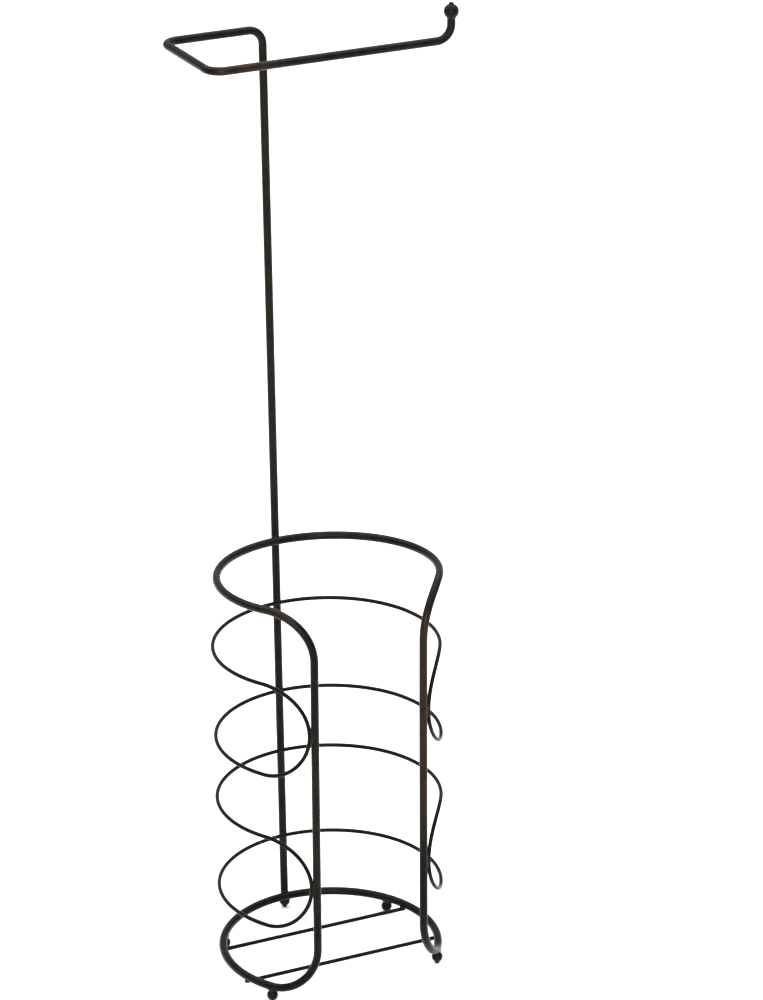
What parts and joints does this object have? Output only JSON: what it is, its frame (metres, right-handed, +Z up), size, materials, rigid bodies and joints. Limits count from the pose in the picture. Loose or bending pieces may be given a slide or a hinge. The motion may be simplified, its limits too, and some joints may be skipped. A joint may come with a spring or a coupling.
{
  "type": "free-standing toilet paper holder",
  "caption": "Free-standing wire toilet roll stand: a tall mast bent into a level roll arm over a round, open-fronted basket that stores spare rolls upright, on small ball feet.",
  "frame": {"origin": "bottom centre of the overall box, on the floor under the feet", "axes": "+Z up along the mast, -Y out of the basket's open front, +X along the roll arm towards its turned-up tip"},
  "size_m": [0.1906, 0.1616, 0.7182],
  "materials": {
    "heavy_wire": "satin dark bronze",
    "light_wire": "satin dark bronze",
    "balls": "satin dark bronze"
  },
  "bodies": {
    "root": {"basket_frame": "heavy_wire", "upper_band": "light_wire", "lower_band": "light_wire", "floor_rod_front": "light_wire", "floor_rod_back": "light_wire", "mast_and_roll_arm": "heavy_wire", "arm_finial": "balls", "foot_under_mast": "balls", "foot_back_left": "balls", "foot_back_right": "balls", "foot_front_left": "balls", "foot_front_right": "balls"}
  },
  "joints": []
}
